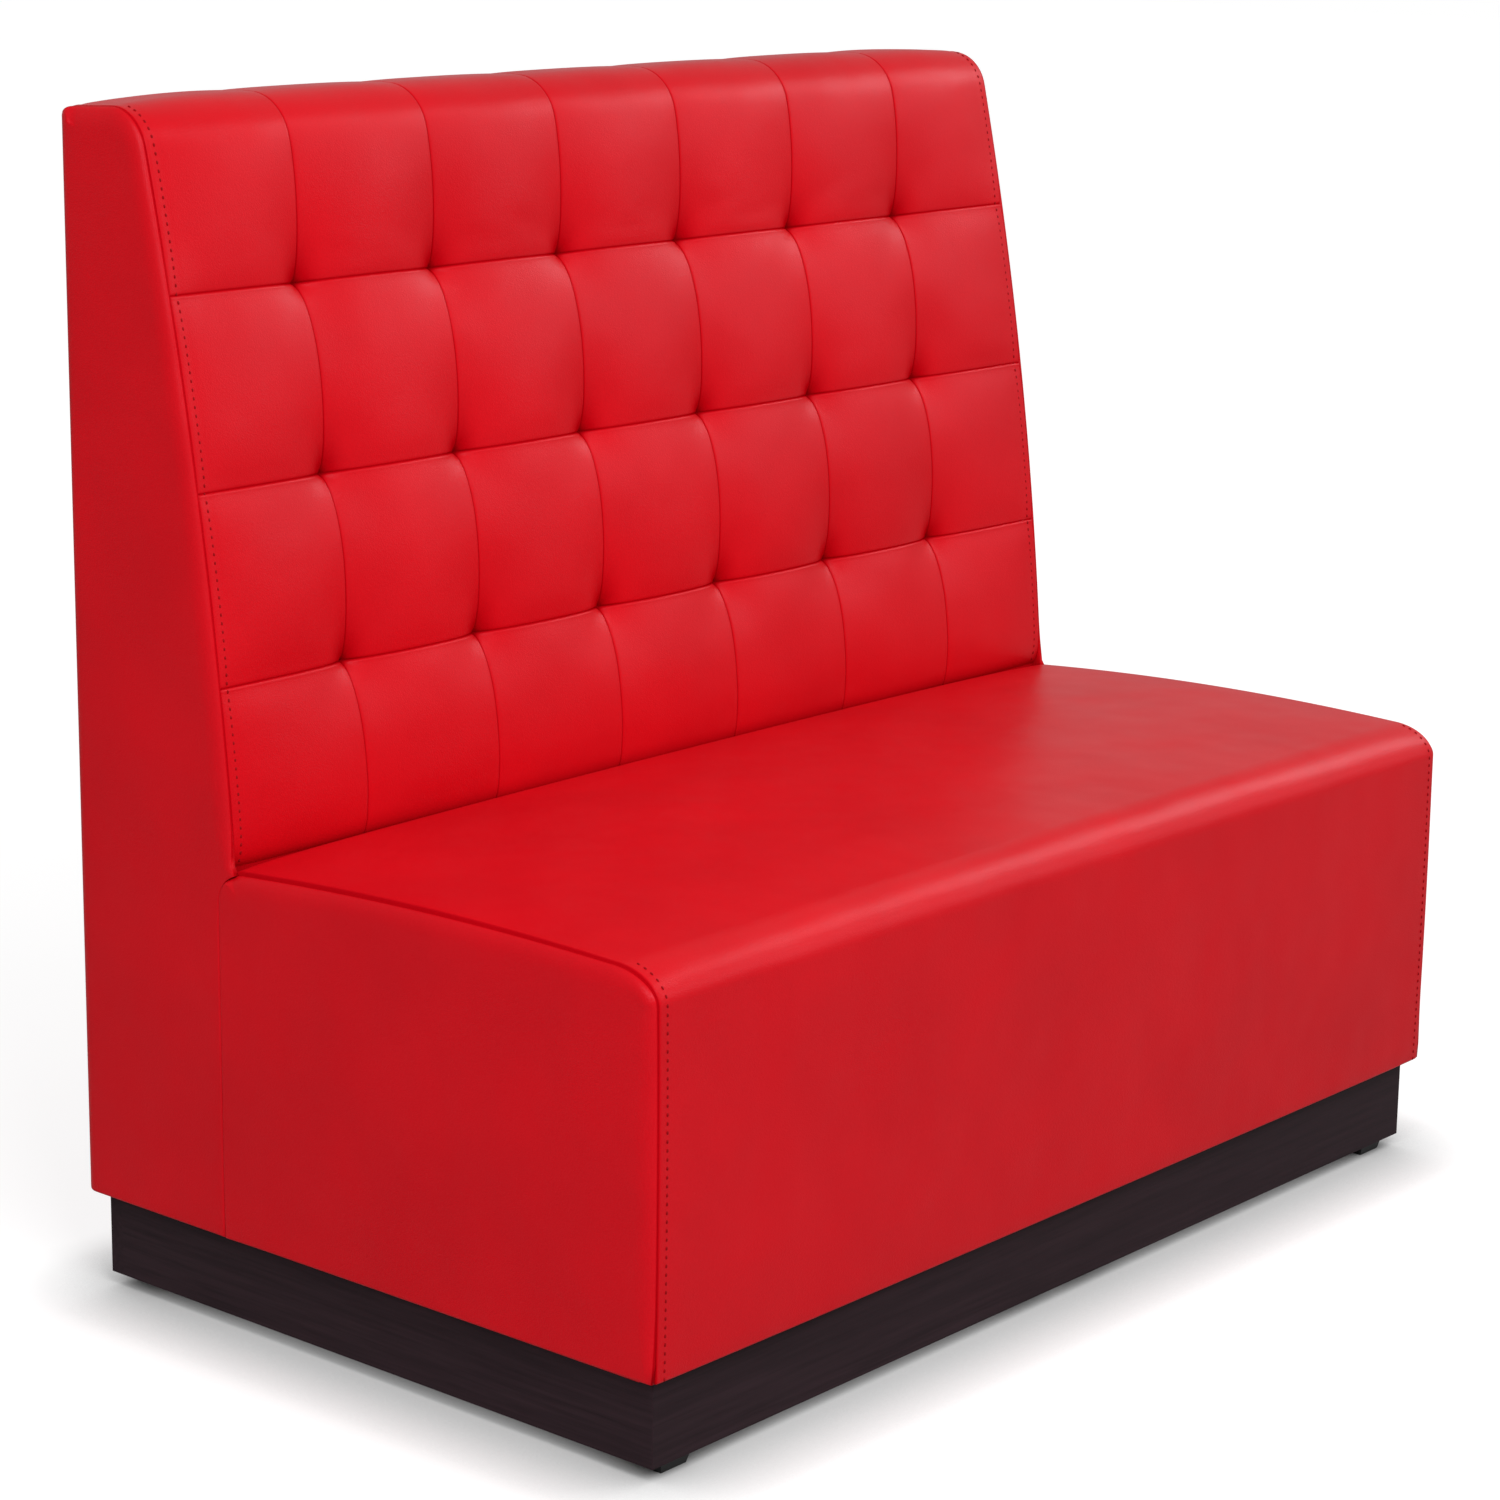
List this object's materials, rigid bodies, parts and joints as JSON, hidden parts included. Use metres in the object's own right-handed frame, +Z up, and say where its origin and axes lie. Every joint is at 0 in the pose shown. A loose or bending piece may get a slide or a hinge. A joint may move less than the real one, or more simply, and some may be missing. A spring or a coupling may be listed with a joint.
{
  "type": "banquette",
  "caption": "Upholstered wall bench without arms: high square-tufted leaning back with a rolled top, deep crowned seat, recessed dark plinth on small square glides.",
  "frame": {"origin": "on the floor, under the middle of the bench's overall box", "axes": "+X along the bench to the sitter's left, +Y towards the back, +Z up; the seat's front faces -Y"},
  "size_m": [1.2, 0.7139, 1.104],
  "materials": {
    "leatherette_red": "satin red leatherette with a fine pressed grain",
    "leatherette_rear": "satin red leatherette, outside back panel",
    "plinth_wenge": "satin dark brown stained board",
    "glide_black": "matt black moulded plastic",
    "birch_plywood": "raw birch plywood",
    "softwood": "planed raw softwood",
    "hardboard": "plain brown hardboard",
    "foam": "open-cell upholstery foam",
    "webbing": "black elastic upholstery webbing",
    "support_cloth": "coarse hessian",
    "dust_cloth": "black non-woven cambric",
    "twine": "waxed upholstery twine",
    "zinc_steel": "zinc-plated steel"
  },
  "bodies": {
    "root": {"back_base_batten": "softwood", "back_bottom_rail": "birch_plywood", "back_foam": "foam", "back_front_board": "birch_plywood", "back_front_cover": "leatherette_red", "back_ledge_board": "birch_plywood", "back_left_cover": "leatherette_red", "back_left_padding": "foam", "back_left_panel": "birch_plywood", "back_left_rib": "birch_plywood", "back_middle_rail": "birch_plywood", "back_rear_board": "hardboard", "back_rear_cover": "leatherette_rear", "back_right_cover": "leatherette_red", "back_right_padding": "foam", "back_right_panel": "birch_plywood", "back_right_rib": "birch_plywood", "back_top_rail": "birch_plywood", "base_screws": "zinc_steel", "block_screws": "zinc_steel", "corner_block_front_left": "softwood", "corner_block_front_right": "softwood", "corner_block_rear_left": "softwood", "corner_block_rear_right": "softwood", "dust_cover": "dust_cloth", "glide_front_left": "glide_black", "glide_front_right": "glide_black", "glide_rear_left": "glide_black", "glide_rear_right": "glide_black", "glide_screws": "zinc_steel", "joining_bolts": "zinc_steel", "joining_nuts": "zinc_steel", "joining_washers": "zinc_steel", "plinth_cross_rail": "plinth_wenge", "plinth_front_board": "plinth_wenge", "plinth_left_board": "plinth_wenge", "plinth_rear_board": "plinth_wenge", "plinth_right_board": "plinth_wenge", "seat_centre_divider": "birch_plywood", "seat_foam": "foam", "seat_front_batten": "softwood", "seat_front_padding": "foam", "seat_front_panel": "birch_plywood", "seat_left_cover": "leatherette_red", "seat_left_padding": "foam", "seat_left_panel": "birch_plywood", "seat_rear_panel": "birch_plywood", "seat_right_cover": "leatherette_red", "seat_right_padding": "foam", "seat_right_panel": "birch_plywood", "seat_support_cloth": "support_cloth", "seat_top_cover": "leatherette_red", "seat_webbing_crosswise": "webbing", "seat_webbing_lengthwise": "webbing", "tufting_twines": "twine", "tufting_washers": "zinc_steel"}
  },
  "joints": []
}
